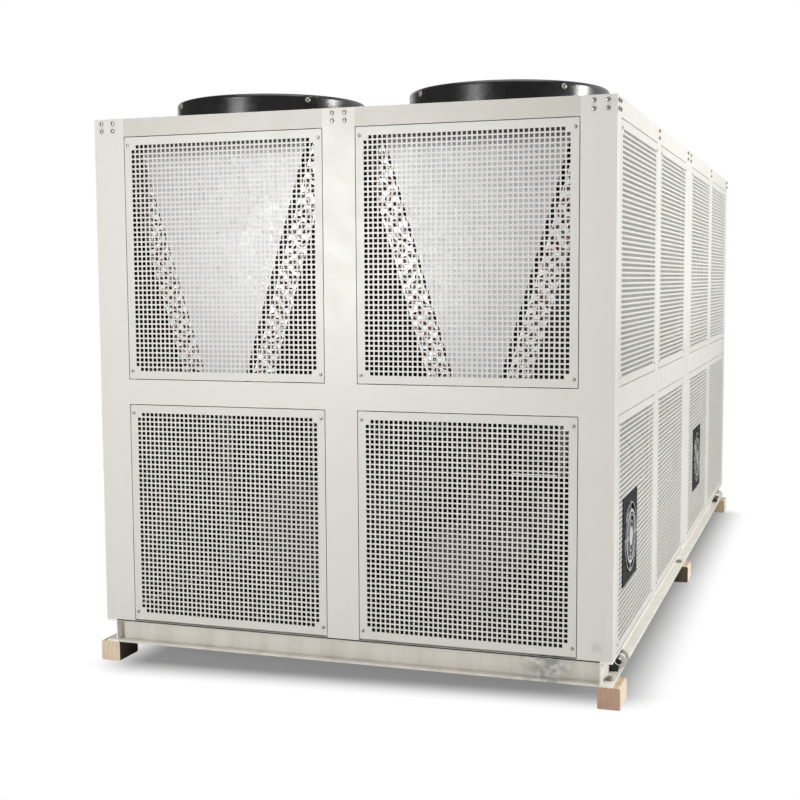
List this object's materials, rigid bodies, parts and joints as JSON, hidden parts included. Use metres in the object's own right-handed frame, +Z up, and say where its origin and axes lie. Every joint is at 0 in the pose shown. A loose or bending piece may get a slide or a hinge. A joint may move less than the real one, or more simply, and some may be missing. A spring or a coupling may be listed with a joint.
{
  "type": "air cooled water chiller",
  "caption": "Long boxy air cooled water chiller: perforated panels between posts, V coils inside, ringed fans on the roof, on a channel base with timber blocks.",
  "frame": {"origin": "middle of the footprint on the ground, under the timber blocks", "axes": "+Z up, +Y along the length away from the pictured end, +X to the right as seen from that end"},
  "size_m": [2.244, 4.58, 2.4],
  "materials": {
    "cabinet_paint": "satin",
    "base_paint": "satin",
    "zinc_sheet": "satin",
    "coil_fin": "matte",
    "fan_black": "gloss",
    "copper_tube": "satin",
    "insulation": "matte",
    "casting": "satin",
    "pine": "rough"
  },
  "bodies": {
    "root": {"base_side_rails": "base_paint", "base_end_channels": "base_paint", "base_cross_channels": "base_paint", "lifting_lugs": "base_paint", "timber_blocks": "pine", "floor_sheet": "base_paint", "corner_posts": "cabinet_paint", "end_centre_posts": "cabinet_paint", "quarter_posts": "cabinet_paint", "middle_posts": "cabinet_paint", "end_top_rails": "cabinet_paint", "side_top_rails": "cabinet_paint", "end_mid_rails": "cabinet_paint", "side_mid_rails": "cabinet_paint", "front_upper_panels": "cabinet_paint", "front_lower_panels": "cabinet_paint", "rear_upper_panels": "cabinet_paint", "rear_lower_panels": "cabinet_paint", "left_upper_panels": "cabinet_paint", "left_lower_panels": "cabinet_paint", "right_upper_panels": "cabinet_paint", "right_lower_panels": "cabinet_paint", "roof_sheets": "cabinet_paint", "fan_rings": "fan_black", "fan_guards": "fan_black", "fan_motors": "fan_black", "fan_rotors": "fan_black", "deck_beams": "cabinet_paint", "deck_sheet": "zinc_sheet", "condenser_coils": "coil_fin", "coil_end_sheets": "zinc_sheet", "return_bends_front": "copper_tube", "return_bends_rear": "copper_tube", "v_closing_plates": "zinc_sheet", "evaporator": "insulation", "evaporator_saddles": "base_paint", "compressors": "casting", "compressor_stands": "base_paint", "refrigerant_pipes": "copper_tube", "vent_frames": "fan_black", "vent_guards": "zinc_sheet", "vent_rotors": "fan_black"}
  },
  "joints": []
}
